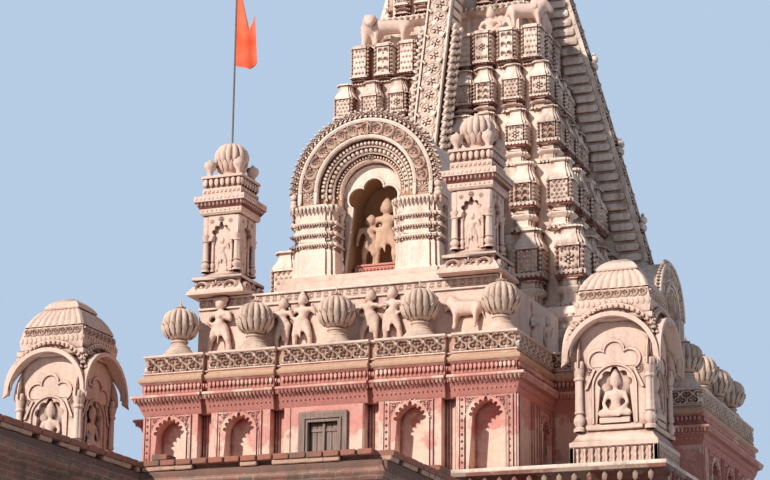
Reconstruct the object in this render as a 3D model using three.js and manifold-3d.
// Hindu temple of carved stone and plaster, with a walled hall, a two-storey sanctum and a tall tower.
// Millimetres, +Z up, real size. The origin is on the ground under the middle of the tower.
// The front faces -Y: the hall stands in front, the tower stands over the sanctum behind it.
import * as THREE from 'three';
import { mergeVertices } from 'three/addons/utils/BufferGeometryUtils.js';
import Module from 'manifold-3d';

const wasm = await Module();
wasm.setup();

// Driving dimensions: heights above the ground
const PLINTH_TOP = 900;
const HALL_WALL_TOP = 5300;
const HALL_ROOF_TOP = 5700;
const HALL_COPING_TOP = 6700;
const CORNICE_UNDER = 8000;
const CORNICE_TOP = 8450;
const STOREY_WALL_TOP = 9990;
const CORNICE_LIP = 10400;
const UPPER_LIP = 10790;
const TERRACE_BASE = 10860;
const TERRACE_TOP = 11290;
const FRIEZE_TOP = 12730;
const PLATFORM_TOP = 13200;
const TOWER_FOOT = 13040;
const CROWN_BASE = 23900;

// Driving dimensions: the plan
const FRONT_Y = -9550;
const ARM_HALF = 4100;
const ARM_DEPTH = 2400;
const BODY_HALF = 5300;
const OFFSET_HALF = 2700;
const OFFSET_OUT = 6200;
const LOWER_HALF = 6750;
const CHAMBER_HALF = 2600;
const HALL_HALF = 6000;
const HALL_LENGTH = 12250;
const PORCH_HALF = 2250;
const PORCH_LENGTH = 5250;
const HALL_WALL = 700;
const PLINTH_MARGIN = 300;
const DOOR_HALF = 900;
const DOOR_TOP = 3300;
const FRONT_ROOM = 800;
const NICHE_DEPTH = 360;
const SIDE_NICHE_DEPTH = 150;
const WINDOW_HALF = 370;
const WINDOW_SILL = 8750;
const WINDOW_TOP = 9690;
const RECESS = 270;
const BAND_RECESS = 100;
const BAND_EASE = 80;
const NARROW_RUN = 120;
const GAP = 0.3;
const ARC_STEPS = 5;
const CLEAR = 1.0001;

// Driving dimensions: the niche, the turrets and the tower
const ARCH_Y = FRONT_Y + 2090;
const ARCH_DEPTH = 420;
const ARCH_SPRING = 14910;
const ARCH_CENTRE = 15220;
const ARCH_OUTER = 1780;
const ARCH_INNER = 1130;
const NICHE_HALF = 640;
const TURRET_X = 2870;
const TURRET_Y = FRONT_Y + 1300;
const TURRET_HALF = 440;
const TURRET_TOP = 15440;
const TURRET_POT = 830;
const NICHE_INSET = 60;
const LEFT_PAVILION = [-6310, FRONT_Y + 550];
const RIGHT_PAVILION = [5960, FRONT_Y + 1250];
const PAVILION_HALF = 890;
const EAVE_HALF = 970;
const EAVE_FOOT = 10560;
const DOME_HALF = 770;
const SPINE_HALF = 300;
const SPINE_DEPTH = 520;
const SPINE_NECK = 21300;
const SPINE_FOOT_OUT = 4900;
const SPINE_RUN = 2650;
const SPINE_BOW = 300;
const BASE_HALF = 4300;
const GABLE_HALF = 1250;
const GABLE_OUT = 5050;
const GABLE_SPRING = 13700;
const HEAD_HALF = 1700;

// The window bay, the two niche bays and the corner bays of the upper storey, as edges in x
const BAYS = [[-ARM_HALF, -2850], [-2540, -1200], [-880, 880], [1200, 2540], [2850, ARM_HALF]];

// The tower's courses: half width at the turrets' faces, foot, block foot, block top and course top
const COURSES = [
  { face: 3900, foot: 13040, low: 13880, high: 14560, top: 15030, width: 720 },
  { face: 3530, foot: 15030, low: 15700, high: 16260, top: 16770, width: 640 },
  { face: 3100, foot: 16770, low: 17340, high: 17830, top: 18240, width: 560 },
  { face: 2790, foot: 18240, low: 18590, high: 19120, top: 19500, width: 520 },
  { face: 2480, foot: 19500, low: 19710, high: 20530, top: 20530, width: 500 },
];
const SET_BACK = 0.7;
const RING_SHARE = 0.03;
const STRING_SHARES = [1, 0.72, 0.44, -0.44, -0.72];

const materials = {
  plaster: { color: 0xd9bfa8, roughness: 0.85 },
  pinkPlaster: { color: 0xcf8d85, roughness: 0.85 },
  redPlaster: { color: 0x7c3a35, roughness: 0.85 },
  shadedPlaster: { color: 0xc2a68f, roughness: 0.9 },
  darkStone: { color: 0x55423d, roughness: 0.9 },
  brick: { color: 0x6d4640, roughness: 0.9 },
  greyWood: { color: 0x857a6c, roughness: 0.8 },
  gilt: { color: 0xc79a3e, roughness: 0.35, metalness: 0.9 },
  iron: { color: 0x6b6a68, roughness: 0.5, metalness: 0.8 },
  orangeCloth: { color: 0xe8481c, roughness: 0.8 },
};

const temple = new THREE.Group();

function add(name, geometry, material) {
  const mesh = new THREE.Mesh(geometry, new THREE.MeshStandardMaterial(materials[material]));
  mesh.name = name;
  temple.add(mesh);
}

// Geometry to solid and back
function solid(geometry) {
  const bare = geometry.clone();
  bare.deleteAttribute('normal');
  bare.deleteAttribute('uv');
  const merged = mergeVertices(bare, 0.01);
  const vertProperties = new Float32Array(merged.attributes.position.array);
  const triVerts = new Uint32Array(merged.index.array);
  return new wasm.Manifold(new wasm.Mesh({ numProp: 3, vertProperties, triVerts }));
}

function geometryOf(body) {
  const mesh = body.getMesh();
  const geometry = new THREE.BufferGeometry();
  geometry.setAttribute('position', new THREE.BufferAttribute(mesh.vertProperties, 3));
  geometry.setIndex(new THREE.BufferAttribute(mesh.triVerts, 1));
  return geometry;
}

function joined(geometries) {
  return geometries.map(solid).reduce((whole, piece) => whole.add(piece));
}

// Basic solids
function box(x0, x1, y0, y1, z0, z1) {
  const geometry = new THREE.BoxGeometry(x1 - x0, y1 - y0, z1 - z0);
  return geometry.translate((x0 + x1) / 2, (y0 + y1) / 2, (z0 + z1) / 2);
}

function prism(plan, z0, z1) {
  const shape = new THREE.Shape(plan.map(([x, y]) => new THREE.Vector2(x, y)));
  const geometry = new THREE.ExtrudeGeometry(shape, { depth: z1 - z0, bevelEnabled: false });
  return geometry.translate(0, 0, z0);
}

// A plan with square corners, grown outwards; the sides of its narrow recesses hardly grow
function grown(plan, distance) {
  const count = plan.length;
  const narrowShare = 0.2;
  const shift = (from, to) => {
    const run = [to[0] - from[0], to[1] - from[1]];
    const length = Math.hypot(run[0], run[1]);
    const share = length <= NARROW_RUN ? narrowShare : 1;
    return [run[1] / length * distance * share, -run[0] / length * distance * share];
  };
  return plan.map((point, i) => {
    const before = shift(plan[(i + count - 1) % count], point);
    const after = shift(point, plan[(i + 1) % count]);
    return [point[0] + before[0] + after[0], point[1] + before[1] + after[1]];
  });
}

// Mouldings: a plan carried up through levels of [growth, height]
function moulded(plan, levels) {
  const rings = levels.map(([growth, z]) => grown(plan, growth).map(([x, y]) => [x, y, z]));
  const flat = plan.map(([x, y]) => new THREE.Vector2(x, y));
  const caps = THREE.ShapeUtils.triangulateShape(flat, []);
  const count = plan.length;
  const last = (levels.length - 1) * count;
  const index = [];
  for (const [a, b, c] of caps) {
    index.push(a, c, b, last + a, last + b, last + c);
  }
  for (let ring = 0; ring < levels.length - 1; ring += 1) {
    for (let i = 0; i < count; i += 1) {
      const a = ring * count + i;
      const b = ring * count + (i + 1) % count;
      index.push(a, b, b + count, a, b + count, a + count);
    }
  }
  const geometry = new THREE.BufferGeometry();
  geometry.setAttribute('position', new THREE.Float32BufferAttribute(rings.flat(2), 3));
  geometry.setIndex(index);
  return geometry;
}

function rectangle(x, y, halfX, halfY) {
  return [[x - halfX, y - halfY], [x + halfX, y - halfY], [x + halfX, y + halfY], [x - halfX, y + halfY]];
}

// A turned solid, its profile given as [radius, height] from the bottom up
function turned(profile, segments, x, y, z) {
  const points = profile.map(([radius, height]) => new THREE.Vector2(radius, height));
  const closed = [new THREE.Vector2(0, profile[0][1]), ...points, new THREE.Vector2(0, profile.at(-1)[1])];
  const geometry = new THREE.LatheGeometry(closed, segments);
  return geometry.rotateX(Math.PI / 2).translate(x, y, z);
}

// An upright outline in x and z, made deep from y0 back to y1
function upright(shape, y0, y1) {
  const settings = { depth: y1 - y0, bevelEnabled: false, curveSegments: ARC_STEPS };
  return new THREE.ExtrudeGeometry(shape, settings).rotateX(Math.PI / 2).translate(0, y1, 0);
}

function archShape(x, half, foot, spring) {
  const shape = new THREE.Shape();
  shape.moveTo(x - half, foot);
  shape.lineTo(x + half, foot);
  shape.lineTo(x + half, spring);
  shape.absarc(x, spring, half, 0, Math.PI, false);
  shape.closePath();
  return shape;
}

// The same solid on the right, back or left side of the tower
function turnedTo(geometry, quarter) {
  return geometry.clone().rotateZ(quarter * Math.PI / 2);
}

// The plan of the upper storey, with the bays of its front; ease widens each bay into its recesses
function storeyPlan(recess, ease) {
  const front = [];
  BAYS.forEach(([from, to], i) => {
    const start = i > 0 ? from - ease : from;
    const end = i < BAYS.length - 1 ? to + ease : to;
    if (i > 0) front.push([start, FRONT_Y + recess]);
    front.push([start, FRONT_Y], [end, FRONT_Y]);
    if (i < BAYS.length - 1) front.push([end, FRONT_Y + recess]);
  });
  const armBack = FRONT_Y + ARM_DEPTH;
  const right = [
    [ARM_HALF, armBack], [BODY_HALF, armBack], [BODY_HALF, -OFFSET_HALF], [OFFSET_OUT, -OFFSET_HALF],
    [OFFSET_OUT, OFFSET_HALF], [BODY_HALF, OFFSET_HALF], [BODY_HALF, BODY_HALF],
    [OFFSET_HALF, BODY_HALF], [OFFSET_HALF, OFFSET_OUT],
  ];
  const left = right.map(([x, y]) => [-x, y]).reverse();
  return [...front, ...right, ...left];
}

// Foundation: a low platform under hall, porch and sanctum, and the steps to the porch
function plinthPlan(margin) {
  const hallFront = FRONT_Y - HALL_LENGTH;
  const porchFront = hallFront - PORCH_LENGTH;
  const right = [
    [PORCH_HALF + margin, porchFront - margin], [PORCH_HALF + margin, hallFront - margin],
    [HALL_HALF + margin, hallFront - margin], [HALL_HALF + margin, FRONT_Y - margin],
    [LOWER_HALF + margin, FRONT_Y - margin], [LOWER_HALF + margin, LOWER_HALF + margin],
  ];
  const left = right.map(([x, y]) => [-x, y]).reverse();
  return [...right, ...left];
}

function addFoundation() {
  const plan = plinthPlan(PLINTH_MARGIN);
  const mouldings = [[0, 0], [0, 250], [-120, 330], [-120, 700], [0, 780], [0, PLINTH_TOP]];
  add('plinth', moulded(plan, mouldings), 'darkStone');
  const treads = 5;
  const going = 300;
  const inset = 450;
  const rise = PLINTH_TOP / treads;
  const front = FRONT_Y - HALL_LENGTH - PORCH_LENGTH - PLINTH_MARGIN;
  const outline = new THREE.Shape();
  outline.moveTo(0, 0);
  for (let i = 0; i < treads; i += 1) {
    outline.lineTo(-going * (treads - i), rise * i);
    outline.lineTo(-going * (treads - i), rise * (i + 1));
  }
  outline.lineTo(0, PLINTH_TOP);
  const width = 2 * (PORCH_HALF - inset);
  const flight = new THREE.ExtrudeGeometry(outline, { depth: width, bevelEnabled: false });
  flight.rotateX(Math.PI / 2).rotateZ(Math.PI / 2).translate(-width / 2, front, 0);
  add('entrance_steps', flight, 'darkStone');
}

// Hall: a wall on each side that steps round the porch, with windows cut through, under a flat roof
function hallWallPlan(side) {
  const hallFront = FRONT_Y - HALL_LENGTH;
  const porchFront = hallFront - PORCH_LENGTH;
  const outer = [
    [DOOR_HALF, porchFront], [PORCH_HALF, porchFront], [PORCH_HALF, hallFront],
    [HALL_HALF, hallFront], [HALL_HALF, FRONT_Y - GAP],
  ];
  const inner = [
    [HALL_HALF - HALL_WALL, FRONT_Y - GAP], [HALL_HALF - HALL_WALL, hallFront + HALL_WALL],
    [PORCH_HALF - HALL_WALL, hallFront + HALL_WALL], [PORCH_HALF - HALL_WALL, porchFront + HALL_WALL],
    [DOOR_HALF, porchFront + HALL_WALL],
  ];
  const plan = [...outer, ...inner];
  return side > 0 ? plan : plan.map(([x, y]) => [-x, y]).reverse();
}

function addHall() {
  const windows = [0.22, 0.5, 0.78];
  const half = 500;
  const [sill, head] = [2400, 3900];
  const reach = 1.5 * HALL_WALL;
  for (const [name, side] of [['hall_left_wall', -1], ['hall_right_wall', 1]]) {
    let wall = solid(prism(hallWallPlan(side), PLINTH_TOP, HALL_WALL_TOP));
    for (const share of windows) {
      const y = FRONT_Y - HALL_LENGTH * share;
      const x = side * HALL_HALF;
      wall = wall.subtract(solid(box(x - reach, x + reach, y - half, y + half, sill, head)));
    }
    add(name, geometryOf(wall), 'darkStone');
  }
  const hallFront = FRONT_Y - HALL_LENGTH;
  const porchFront = hallFront - PORCH_LENGTH;
  const lintel = box(-DOOR_HALF, DOOR_HALF, porchFront, porchFront + HALL_WALL, DOOR_TOP, HALL_WALL_TOP);
  add('entrance_lintel', lintel, 'darkStone');
  const roof = [
    [PORCH_HALF, porchFront], [PORCH_HALF, hallFront], [HALL_HALF, hallFront], [HALL_HALF, FRONT_Y - GAP],
  ];
  const roofPlan = [...roof, ...roof.map(([x, y]) => [-x, y]).reverse()];
  add('hall_roof', prism(roofPlan, HALL_WALL_TOP, HALL_ROOF_TOP), 'darkStone');
  addHallParapet(roof);
}

// Parapet of the hall: a low wall with a rolled eave and a brick coping, one ring open at the sanctum
function addHallParapet(edge) {
  const thick = 450;
  const path = [...edge.map(([x, y]) => [-x, y]).reverse(), ...edge];
  const profile = [
    [0, HALL_ROOF_TOP], [0, 6230], [190, 6300], [250, 6400], [190, 6500], [60, 6530],
    [60, HALL_COPING_TOP], [-thick, HALL_COPING_TOP], [-thick, HALL_ROOF_TOP],
  ];
  const count = profile.length;
  const outward = path.map((point, i) => {
    const before = i > 0 ? [point[0] - path[i - 1][0], point[1] - path[i - 1][1]] : null;
    const after = i < path.length - 1 ? [path[i + 1][0] - point[0], path[i + 1][1] - point[1]] : null;
    const runs = [before, after].filter((run) => run);
    const normals = runs.map(([x, y]) => [y / Math.hypot(x, y), -x / Math.hypot(x, y)]);
    return normals.reduce((sum, [x, y]) => [sum[0] + x, sum[1] + y], [0, 0]);
  });
  const position = [];
  path.forEach(([x, y], i) => {
    for (const [out, z] of profile) position.push(x + outward[i][0] * out, y + outward[i][1] * out, z);
  });
  const flat = profile.map(([out, z]) => new THREE.Vector2(out, z));
  const caps = THREE.ShapeUtils.triangulateShape(flat, []);
  const last = (path.length - 1) * count;
  const index = [];
  for (const [a, b, c] of caps) index.push(a, b, c, last + a, last + c, last + b);
  for (let ring = 0; ring < path.length - 1; ring += 1) {
    for (let i = 0; i < count; i += 1) {
      const a = ring * count + i;
      const b = ring * count + (i + 1) % count;
      index.push(a, a + count, b + count, a, b + count, b);
    }
  }
  const geometry = new THREE.BufferGeometry();
  geometry.setAttribute('position', new THREE.Float32BufferAttribute(position, 3));
  geometry.setIndex(index);
  add('hall_parapet', geometry, 'brick');
}

// Sanctum, lower storey: thick walls round one chamber, a doorway from the hall, and the red cornice
function addLowerStorey() {
  const doorWall = 1200;
  for (const [name, side] of [['sanctum_left_wall', -1], ['sanctum_right_wall', 1]]) {
    const plan = [
      [DOOR_HALF, FRONT_Y], [LOWER_HALF, FRONT_Y], [LOWER_HALF, LOWER_HALF], [CHAMBER_HALF, LOWER_HALF],
      [CHAMBER_HALF, FRONT_Y + doorWall], [DOOR_HALF, FRONT_Y + doorWall],
    ];
    const sided = side > 0 ? plan : plan.map(([x, y]) => [-x, y]).reverse();
    add(name, prism(sided, PLINTH_TOP, CORNICE_UNDER), 'darkStone');
  }
  const back = box(-CHAMBER_HALF, CHAMBER_HALF, CHAMBER_HALF, LOWER_HALF, PLINTH_TOP, CORNICE_UNDER);
  add('sanctum_back_wall', back, 'darkStone');
  const lintel = box(-DOOR_HALF, DOOR_HALF, FRONT_Y, FRONT_Y + doorWall, DOOR_TOP, CORNICE_UNDER);
  add('sanctum_door_lintel', lintel, 'darkStone');
  const plan = [
    [-LOWER_HALF, FRONT_Y], [LOWER_HALF, FRONT_Y], [LOWER_HALF, LOWER_HALF], [-LOWER_HALF, LOWER_HALF],
  ];
  const levels = [[0, CORNICE_UNDER], [80, 8060], [80, 8130], [380, 8280], [450, 8310], [450, CORNICE_TOP]];
  add('lower_cornice', moulded(plan, levels), 'redPlaster');
}

// Upper storey: a front wall with niches and a window, and the mass that carries the tower
function addUpperStorey() {
  const plan = storeyPlan(RECESS, 0);
  const frontEdge = FRONT_Y + FRONT_ROOM;
  const over = 10;
  const foot = CORNICE_TOP + 60;
  const whole = solid(prism(plan, CORNICE_TOP, STOREY_WALL_TOP));
  const keepFront = solid(box(-ARM_HALF, ARM_HALF, FRONT_Y, frontEdge, CORNICE_TOP, STOREY_WALL_TOP));
  let front = whole.intersect(keepFront);
  const frontNiche = { half: 350, spring: 9560, places: [-3490, -1890, 1890, 3490] };
  for (const x of frontNiche.places) {
    const shape = archShape(x, frontNiche.half, foot, frontNiche.spring);
    front = front.subtract(solid(upright(shape, FRONT_Y - over, FRONT_Y + NICHE_DEPTH)));
  }
  const opening = box(-WINDOW_HALF, WINDOW_HALF, FRONT_Y - over, frontEdge + over, WINDOW_SILL, WINDOW_TOP);
  front = front.subtract(solid(opening));
  add('storey_front_wall', geometryOf(front), 'pinkPlaster');

  const sideWall = 700;
  const inner = ARM_HALF - sideWall;
  const roomBack = FRONT_Y + ARM_DEPTH;
  const [low, high] = [CORNICE_TOP - over, STOREY_WALL_TOP + over];
  const away = [
    box(-ARM_HALF - over, ARM_HALF + over, FRONT_Y - over, frontEdge + GAP, low, high),
    box(-inner, inner, frontEdge, roomBack, low, high),
  ];
  let mass = away.map(solid).reduce((body, piece) => body.subtract(piece), whole);
  const spring = 9500;
  const armNiche = { half: 260, out: ARM_HALF, y: roomBack - 560 };
  const sideNiches = [-1500, 0, 1500].map((y) => ({ half: 420, out: OFFSET_OUT, y }));
  for (const side of [-1, 1]) {
    for (const { half, out, y } of [armNiche, ...sideNiches]) {
      const niche = upright(archShape(0, half, foot, spring), -SIDE_NICHE_DEPTH, SIDE_NICHE_DEPTH);
      mass = mass.subtract(solid(niche.rotateZ(Math.PI / 2).translate(side * out, y, 0)));
    }
  }
  for (const { half, out, y } of sideNiches) {
    const niche = upright(archShape(y, half, foot, spring), out - SIDE_NICHE_DEPTH, out + SIDE_NICHE_DEPTH);
    mass = mass.subtract(solid(niche));
  }
  add('storey_mass', geometryOf(mass), 'pinkPlaster');
  addWindow();

  const bandPlan = storeyPlan(BAND_RECESS, BAND_EASE);
  const cornice = [
    [0, STOREY_WALL_TOP], [60, 10120], [110, 10260], [220, 10350], [220, CORNICE_LIP], [30, 10450],
    [30, 10620], [110, 10700], [110, UPPER_LIP], [0, TERRACE_BASE],
  ];
  add('storey_cornice', moulded(bandPlan, cornice), 'pinkPlaster');
  add('terrace_parapet', moulded(bandPlan, [[0, TERRACE_BASE], [0, TERRACE_TOP]]), 'plaster');
}

// Window of the middle bay: a frame with its lining, and a pair of board shutters with a mullion
function addWindow() {
  const frame = { half: 530, foot: WINDOW_SILL - 150, top: 9860, proud: 70, lining: 160, thick: 40 };
  const over = 200;
  const [half, low, high] = [WINDOW_HALF - frame.thick, WINDOW_SILL + frame.thick, WINDOW_TOP - frame.thick];
  const face = FRONT_Y - frame.proud;
  const outer = solid(box(-frame.half, frame.half, face, FRONT_Y - GAP, frame.foot, frame.top));
  const hole = solid(box(-half, half, FRONT_Y - over, FRONT_Y + over, low, high));
  const reveal = WINDOW_HALF - GAP;
  const liner = box(-reveal, reveal, face, FRONT_Y + frame.lining, WINDOW_SILL + GAP, WINDOW_TOP - GAP);
  add('window_frame', geometryOf(outer.add(solid(liner)).subtract(hole)), 'greyWood');
  const leaf = half - GAP;
  const mullion = 25;
  const shutters = [
    box(-leaf, leaf, FRONT_Y + 80, FRONT_Y + 120, low + GAP, high - GAP),
    box(-mullion, mullion, FRONT_Y + 50, FRONT_Y + 90, low + GAP, high - GAP),
  ];
  add('window_shutters', geometryOf(joined(shutters)), 'greyWood');
}

// Ribbed pots on flared pads, standing in rows on the terrace
function potRow(places) {
  const curb = 40;
  const reach = 170;
  const profile = [
    [340, 0], [190, 250], [180, 340], [400, 620], [400, 880], [260, 1100], [80, 1170], [15, 1340],
  ];
  const xs = places.map(([x]) => x);
  const ys = places.map(([, y]) => y);
  const [left, right] = [Math.min(...xs) - reach, Math.max(...xs) + reach];
  const [front, back] = [Math.min(...ys) - reach, Math.max(...ys) + reach];
  const strip = box(left, right, front, back, TERRACE_TOP, TERRACE_TOP + curb);
  const pots = places.map(([x, y]) => turned(profile, 8, x, y, TERRACE_TOP));
  return geometryOf(joined([strip, ...pots]));
}

function addPots() {
  const frontY = FRONT_Y + 560;
  add('pots_front', potRow([-3620, -1860, 0, 1860, 3620].map((x) => [x, frontY])), 'plaster');
  const out = OFFSET_OUT - 420;
  const along = [-2200, -740, 740, 2200];
  add('pots_left', potRow(along.map((y) => [-out, y])), 'shadedPlaster');
  add('pots_right', potRow(along.map((y) => [out, y])), 'shadedPlaster');
  add('pots_back', potRow(along.map((x) => [x, out])), 'shadedPlaster');
}

// Front niche over the storey: frieze wall, platform, ringed piers, horseshoe arch and figures
function addFrontNiche() {
  const friezeHalf = 3400;
  const friezeY = FRONT_Y + 1000;
  const towerFront = -BASE_HALF - GAP;
  const friezeWall = box(-friezeHalf, friezeHalf, friezeY, towerFront, TERRACE_TOP, FRIEZE_TOP);
  add('frieze_wall', friezeWall, 'plaster');
  const platformHalf = 1880;
  const platformFront = FRONT_Y + 1650;
  const platformLevels = [[-90, FRIEZE_TOP], [0, 12790], [0, 13060], [-60, 13090], [-60, PLATFORM_TOP]];
  const [middle, depth] = [(platformFront + towerFront) / 2, towerFront - platformFront];
  const platformPlan = rectangle(0, middle, platformHalf, depth / 2);
  add('arch_platform', moulded(platformPlan, platformLevels), 'plaster');

  const pierHalfDepth = 280;
  for (const [name, side] of [['arch_pier_left', -1], ['arch_pier_right', 1]]) {
    const centre = (ARCH_OUTER + NICHE_HALF) / 2 * side;
    const half = (ARCH_OUTER - NICHE_HALF) / 2 - NICHE_INSET;
    const plan = rectangle(centre, ARCH_Y + ARCH_DEPTH / 2, half, pierHalfDepth);
    const rings = [13900, 14240, 14560];
    const levels = [[60, PLATFORM_TOP], [50, 13420], [-40, 13500]];
    for (const z of rings) levels.push([-40, z - 60], [20, z - 40], [20, z + 40], [-40, z + 60]);
    levels.push([-40, 14720], [40, 14790], [40, ARCH_SPRING - GAP]);
    add(name, moulded(plan, levels), 'plaster');
  }

  const ring = new THREE.Shape();
  ring.moveTo(-ARCH_OUTER, ARCH_SPRING);
  ring.lineTo(-ARCH_INNER, ARCH_SPRING);
  ring.lineTo(-ARCH_INNER, ARCH_CENTRE);
  ring.absarc(0, ARCH_CENTRE, ARCH_INNER, Math.PI, 0, true);
  ring.lineTo(ARCH_INNER, ARCH_SPRING);
  ring.lineTo(ARCH_OUTER, ARCH_SPRING);
  ring.lineTo(ARCH_OUTER, ARCH_CENTRE);
  ring.absarc(0, ARCH_CENTRE, ARCH_OUTER, 0, Math.PI, false);
  add('arch_ring', upright(ring, ARCH_Y, ARCH_Y + ARCH_DEPTH), 'plaster');

  const massY = ARCH_Y + ARCH_DEPTH + 140 + GAP;
  const floor = PLATFORM_TOP + 120;
  const recessDepth = 900;
  const recessSpring = 15050;
  const massFront = archShape(0, ARCH_OUTER - NICHE_INSET, PLATFORM_TOP, ARCH_CENTRE);
  const mass = solid(upright(massFront, massY, -COURSES[2].face - 100));
  const recess = upright(archShape(0, NICHE_HALF, floor, recessSpring), massY - 10, massY + recessDepth);
  const order = { count: 3, step: 140, width: 150, first: 120, back: 100 };
  const orders = [];
  for (let i = 0; i < order.count; i += 1) {
    const outer = ARCH_INNER - i * order.step;
    const face = ARCH_Y + order.first + i * order.back;
    const whole = solid(upright(archShape(0, outer, ARCH_SPRING, ARCH_CENTRE), face, massY + 10));
    const inner = archShape(0, outer - order.width, ARCH_SPRING - 10, ARCH_CENTRE);
    orders.push(whole.subtract(solid(upright(inner, ARCH_Y, massY + 20))));
  }
  const inRing = solid(upright(archShape(0, ARCH_INNER - GAP, ARCH_SPRING, ARCH_CENTRE), ARCH_Y, massY + 20));
  let niche = mass;
  for (const piece of orders) niche = niche.add(piece.intersect(inRing));
  niche = niche.subtract(solid(recess));
  COURSES.forEach((course) => { niche = niche.subtract(courseEnvelope(course)); });
  add('niche_mass', geometryOf(niche), 'plaster');

  const sillHalf = NICHE_HALF - 40;
  const sill = box(-sillHalf, sillHalf, massY + 20, massY + recessDepth - 20, floor, floor + 210);
  const group = [{ x: -240, radius: 230, height: 640 }, { x: 190, radius: 250, height: 760 }];
  const bodies = group.map(({ x, radius, height }) => {
    const profile = [[1, 0], [0.8, 0.35], [0.9, 0.6], [0.5, 0.8], [0.45, 1]];
    const outline = profile.map(([wide, rise]) => [wide * radius, rise * height]);
    return turned(outline, 8, x, massY + 560, floor + 110);
  });
  add('niche_figures', geometryOf(joined([sill, ...bodies])), 'plaster');
}

// Corner turrets: a carved foot, a square shaft with a niche on each face, a cornice and a ribbed pot
function addTurret(name, x) {
  const plan = rectangle(x, TURRET_Y, TURRET_HALF, TURRET_HALF);
  const levels = [
    [240, FRIEZE_TOP], [230, 12790], [90, 13020], [90, 13140], [0, 13180], [0, 14520], [60, 14600],
    [60, 14680], [160, 14850], [160, 14950], [20, 15010], [20, 15150], [-40, 15170], [30, 15400],
    [30, TURRET_TOP],
  ];
  let shaft = solid(moulded(plan, levels));
  for (let quarter = 0; quarter < 4; quarter += 1) {
    const niche = upright(archShape(0, 210, 13330, 14180), -TURRET_HALF - 10, -TURRET_HALF + 150);
    shaft = shaft.subtract(solid(turnedTo(niche, quarter).translate(x, TURRET_Y, 0)));
  }
  const pot = [
    [250, -10], [270, 50], [210, 90], [230, 150], [320, 300], [380, 450], [375, 580], [320, 700],
    [210, 790], [100, 820], [30, TURRET_POT],
  ];
  shaft = shaft.add(solid(turned(pot, 10, x, TURRET_Y, TURRET_TOP)));
  const small = [[90, -10], [60, 60], [60, 110], [140, 220], [140, 290], [90, 360], [20, 390]];
  const reach = TURRET_HALF - 90;
  for (const [dx, dy] of [[-1, -1], [1, -1], [1, 1], [-1, 1]]) {
    shaft = shaft.add(solid(turned(small, 6, x + dx * reach, TURRET_Y + dy * reach, TURRET_TOP)));
  }
  add(name, geometryOf(shaft), 'plaster');
}

// Flag: a pole in the left turret's pot and a cloth pennant with two tails, hanging by the pole
function addFlag() {
  const poleFoot = TURRET_TOP + TURRET_POT;
  const poleTop = 20400;
  const radius = 22;
  const pole = turned([[radius, 0], [radius, poleTop - poleFoot]], 8, -TURRET_X, TURRET_Y, poleFoot);
  add('flagpole', pole, 'iron');
  const halfThick = 10;
  const outline = new THREE.Shape();
  outline.moveTo(0, 20300);
  outline.lineTo(0, 18120);
  outline.lineTo(360, 18000);
  outline.lineTo(515, 18150);
  outline.lineTo(300, 18980);
  outline.lineTo(440, 19300);
  outline.closePath();
  const cloth = upright(outline, -halfThick, halfThick);
  add('flag', cloth.translate(-TURRET_X + radius + GAP, TURRET_Y, 0), 'orangeCloth');
}

// Pavilions: a small domed kiosk with a niche, on the red cornice at each front corner
function addPavilion(name, [x, y]) {
  const plan = rectangle(x, y, PAVILION_HALF, PAVILION_HALF);
  const body = [
    [0, CORNICE_TOP], [0, 8950], [-170, 9200], [-170, 10500], [-100, 10620], [-100, 11450],
  ];
  let kiosk = solid(moulded(plan, body));
  const eave = upright(archShape(0, EAVE_HALF, EAVE_FOOT, EAVE_FOOT + 40), -EAVE_HALF, EAVE_HALF);
  for (const quarter of [0, 1]) {
    kiosk = kiosk.add(solid(turnedTo(eave, quarter).translate(x, y, 0)));
  }
  for (let quarter = 0; quarter < 4; quarter += 1) {
    const niche = upright(archShape(0, 430, 9330, 10350), -PAVILION_HALF + 160, -PAVILION_HALF + 420);
    kiosk = kiosk.subtract(solid(turnedTo(niche, quarter).translate(x, y, 0)));
  }
  const dome = [
    [0, 11440], [10, 11560], [-20, 11800], [-90, 12080], [-190, 12300], [-320, 12480], [-400, 12540],
    [-560, 12690], [-700, 12800], [-745, 12840],
  ];
  kiosk = kiosk.add(solid(moulded(rectangle(x, y, DOME_HALF, DOME_HALF), dome)));
  add(name, geometryOf(kiosk), 'plaster');
}

// Tower: a moulded foot, courses of miniature turrets round a core, and four projecting spines
function courseCore(course) {
  const half = course.face - SET_BACK * course.width;
  return solid(box(-half, half, -half, half, course.foot, course.top));
}

function courseEnvelope(course) {
  const half = course.face + RING_SHARE * course.width + GAP;
  return solid(box(-half, half, -half, half, course.foot - GAP, course.top + GAP));
}

function turretString(course, x, y) {
  const half = course.width / 2;
  const neck = course.low - course.foot;
  const levels = [
    [-0.04, course.foot], [RING_SHARE, course.foot + 0.4 * neck], [-0.2, course.foot + 0.5 * neck],
    [-0.16, course.foot + 0.85 * neck], [0, course.low], [0, course.high],
  ];
  if (course.top > course.high) levels.push([-0.24, course.top]);
  return solid(moulded(rectangle(x, y, half, half), levels.map(([share, z]) => [share * course.width, z])));
}

function towerCourse(course) {
  const corner = course.face - course.width / 2;
  let body = courseCore(course);
  for (let quarter = 0; quarter < 4; quarter += 1) {
    for (const along of STRING_SHARES.map((share) => share * corner)) {
      const angle = quarter * Math.PI / 2;
      const x = Math.round(along * Math.cos(angle) + corner * Math.sin(angle));
      const y = Math.round(along * Math.sin(angle) - corner * Math.cos(angle));
      body = body.add(turretString(course, x, y));
    }
  }
  return body;
}

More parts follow.
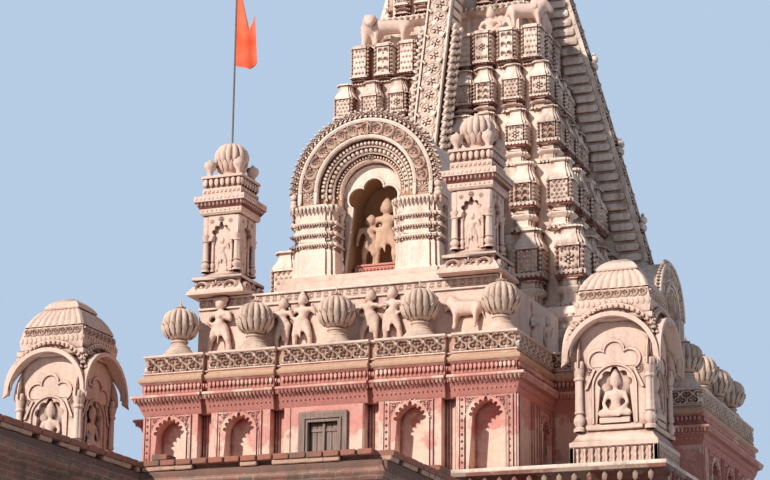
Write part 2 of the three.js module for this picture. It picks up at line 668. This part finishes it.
function towerPlan(half, offsetHalf, out) {
  const side = [
    [-half, -half], [-offsetHalf, -half], [-offsetHalf, -out], [offsetHalf, -out], [offsetHalf, -half],
  ];
  const plan = [];
  for (let quarter = 0; quarter < 4; quarter += 1) {
    const c = [1, 0, -1, 0][quarter];
    const s = [0, 1, 0, -1][quarter];
    for (const [x, y] of side) plan.push([c * x - s * y, s * x + c * y]);
  }
  return plan;
}

function addTower() {
  const basePlan = towerPlan(BASE_HALF - 200, GABLE_HALF, GABLE_OUT - 60);
  const baseLevels = [
    [60, TERRACE_TOP], [60, 11700], [-40, 11780], [-40, 12250], [40, 12330], [40, 12460], [-60, 12540],
    [-60, 12700], [60, 12790], [60, 12900], [0, TOWER_FOOT],
  ];
  const away = solid(box(-3500, 3500, -20000, -BASE_HALF, TERRACE_TOP - 10, 14000));
  add('tower_base', geometryOf(solid(moulded(basePlan, baseLevels)).subtract(away)), 'shadedPlaster');
  const bodies = COURSES.map(towerCourse);
  bodies.forEach((body, i) => add(`tower_course_${i + 1}`, geometryOf(body), 'shadedPlaster'));
  const topPlan = rectangle(0, 0, HEAD_HALF, HEAD_HALF);
  const topLevels = [
    [0, COURSES.at(-1).top], [0, 21200], [200, 21300], [200, 21420], [-40, 21500], [-60, 22500], [80, 22600],
    [80, 22720], [-200, 22800], [-300, CROWN_BASE],
  ];
  add('tower_head', moulded(topPlan, topLevels), 'shadedPlaster');
  addSpines(bodies);
  addCrown();
}

// A spine's outer edge, from the foot of the tower to the crown
function spineOut(z) {
  const share = (z - TOWER_FOOT) / (CROWN_BASE - TOWER_FOOT);
  return SPINE_FOOT_OUT - SPINE_RUN * share - SPINE_BOW * share * share;
}

function addSpines(bodies) {
  const names = ['tower_spine_front', 'tower_spine_right', 'tower_spine_back', 'tower_spine_left'];
  const steps = 10;
  const foot = TOWER_FOOT + GAP;
  names.forEach((name, quarter) => {
    const outline = new THREE.Shape();
    const from = quarter === 0 ? 15400 : foot;
    for (let i = 0; i <= steps; i += 1) {
      const z = from + (CROWN_BASE - from) * i / steps;
      const y = -spineOut(z);
      if (i === 0) outline.moveTo(y, z);
      else outline.lineTo(y, z);
    }
    outline.lineTo(-spineOut(CROWN_BASE) + 900, CROWN_BASE);
    outline.lineTo(-spineOut(SPINE_NECK) + SPINE_DEPTH, SPINE_NECK);
    outline.lineTo(-spineOut(from) + 1500, from);
    outline.closePath();
    const bar = new THREE.ExtrudeGeometry(outline, { depth: 2 * SPINE_HALF, bevelEnabled: false });
    bar.rotateX(Math.PI / 2).rotateZ(Math.PI / 2).translate(-SPINE_HALF, 0, 0);
    let spine = solid(bar);
    if (quarter > 0) {
      const arch = archShape(0, GABLE_HALF - 60, foot, GABLE_SPRING);
      const gable = upright(arch, -GABLE_OUT + 100, -COURSES[0].face + 200);
      const hollow = upright(archShape(0, 620, foot + 150, GABLE_SPRING - 50), -GABLE_OUT, -GABLE_OUT + 450);
      spine = spine.add(solid(gable)).subtract(solid(hollow));
    }
    spine = solid(turnedTo(geometryOf(spine), quarter));
    for (const body of bodies) {
      const wider = body.scale([CLEAR, CLEAR, 1]);
      const closer = body.scale([1 / CLEAR, 1 / CLEAR, 1]);
      spine = spine.subtract(body.add(wider).add(closer));
    }
    const headSpace = HEAD_HALF + 301;
    spine = spine.subtract(solid(box(-headSpace, headSpace, -headSpace, headSpace, 20000, 30000)));
    if (quarter === 0) {
      const barrel = archShape(0, ARCH_OUTER - NICHE_INSET + GAP, PLATFORM_TOP, ARCH_CENTRE);
      spine = spine.subtract(solid(upright(barrel, -8000, -2000)));
    }
    const largest = spine.decompose().sort((a, b) => b.volume() - a.volume())[0];
    add(name, geometryOf(largest), 'shadedPlaster');
  });
}

// Crown: a ribbed cushion, a ribbed dome and a gilt finial, unseen in the photograph
function addCrown() {
  const cushion = [
    [1500, 0], [1700, 150], [1850, 420], [1850, 620], [1650, 900], [1250, 1000], [1250, 1060], [1380, 1200],
    [1330, 1500], [1000, 1900], [520, 2150], [480, 2200],
  ];
  add('tower_crown', turned(cushion, 20, 0, 0, CROWN_BASE + GAP), 'shadedPlaster');
  const finial = [
    [300, 0], [360, 60], [240, 160], [420, 380], [400, 560], [180, 720], [120, 800], [220, 900], [190, 1000],
    [80, 1080], [20, 1400],
  ];
  add('tower_finial', turned(finial, 14, 0, 0, CROWN_BASE + 2200 + 2 * GAP), 'gilt');
}

addFoundation();
addHall();
addLowerStorey();
addUpperStorey();
addPots();
addFrontNiche();
addTurret('corner_turret_left', -TURRET_X);
addTurret('corner_turret_right', TURRET_X);
addFlag();
addPavilion('pavilion_left', LEFT_PAVILION);
addPavilion('pavilion_right', RIGHT_PAVILION);
addTower();

export default temple;
